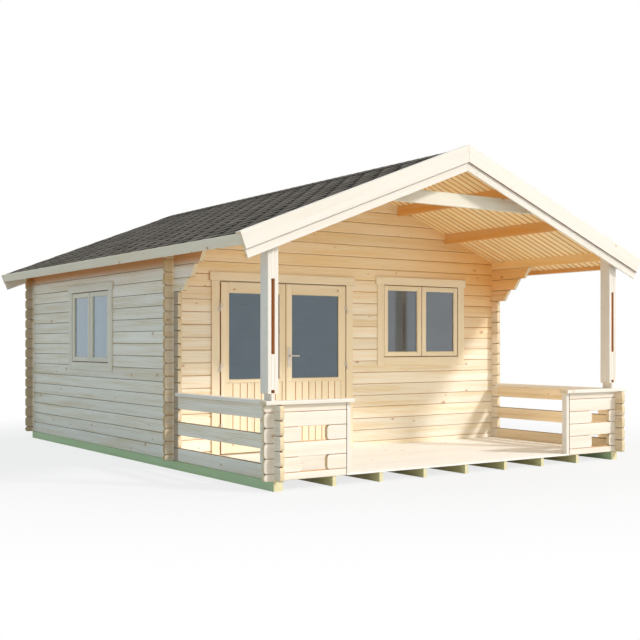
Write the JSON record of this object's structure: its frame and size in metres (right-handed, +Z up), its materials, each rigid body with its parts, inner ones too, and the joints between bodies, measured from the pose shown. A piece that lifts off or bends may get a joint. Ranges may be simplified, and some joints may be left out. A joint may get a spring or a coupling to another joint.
{
  "type": "log cabin",
  "caption": "Gabled log cabin with a shingled roof that reaches over an open front veranda with log railings, glazed double doors and casement windows.",
  "frame": {"origin": "middle of the bounding box, on the ground under the bearers", "axes": "+Z up, the front with the veranda faces -Y, +X to the right as seen from the front"},
  "size_m": [5.4806, 7.127, 3.4269],
  "materials": {
    "treated": "pressure-treated, greenish, sawn",
    "floor": "planed, untreated",
    "logs": "planed, untreated spruce",
    "beams": "planed, untreated spruce",
    "roof_boards": "planed tongue and groove",
    "shingles": "mineral granules on bitumen felt",
    "trim": "planed, untreated spruce",
    "joinery": "planed, untreated spruce",
    "panes": "clear",
    "hinges": "zinc plated",
    "handle": "satin anodised"
  },
  "bodies": {
    "cabin": {"corner_bearers": "treated", "floor_joists": "treated", "cabin_floor": "floor", "veranda_deck": "floor", "left_wall": "logs", "right_wall": "logs", "back_wall": "logs", "front_wall_left": "logs", "front_wall_right": "logs", "front_gable": "logs", "wall_plates": "beams", "ridge_purlin": "beams", "mid_purlins": "beams", "roof_boards_left": "roof_boards", "roof_boards_right": "roof_boards", "shingles_left": "shingles", "shingles_right": "shingles", "eave_fascias": "trim", "front_bargeboards": "trim", "front_trim_boards": "trim", "back_bargeboards": "trim", "collar_tie": "beams", "left_post": "trim", "right_post": "trim", "left_side_rails": "logs", "right_side_rails": "logs", "left_front_rail": "logs", "right_front_rail": "logs", "rail_caps": "trim", "rail_end_trims": "trim", "door_frame": "joinery", "door_casing": "joinery", "hinge_pins": "hinges", "window_frames": "joinery", "window_casings": "joinery", "window_panes": "panes"},
    "left_leaf": {"door_left_leaf": "joinery", "door_left_glass": "panes", "door_left_hinges": "hinges"},
    "right_leaf": {"door_right_leaf": "joinery", "door_right_glass": "panes", "door_right_hinges": "hinges", "lock_plates": "handle"},
    "lever": {"door_lever": "handle"}
  },
  "joints": [
    {"name": "left_leaf_hinge", "type": "hinge", "parent": "cabin", "child": "left_leaf", "pos_m": [-1.806, -1.443, 1.09], "axis": [0, 0, -1], "range_deg": [0, 100]},
    {"name": "right_leaf_hinge", "type": "hinge", "parent": "cabin", "child": "right_leaf", "pos_m": [-0.09, -1.443, 1.09], "axis": [0, 0, 1], "range_deg": [0, 100]},
    {"name": "lever_turn", "type": "hinge", "parent": "right_leaf", "child": "lever", "pos_m": [-0.906, -1.4105, 1.215], "axis": [0, 1, 0], "range_deg": [0, 45], "stiffness_Nm_per_rad": 1, "springref_deg": -28.65}
  ]
}
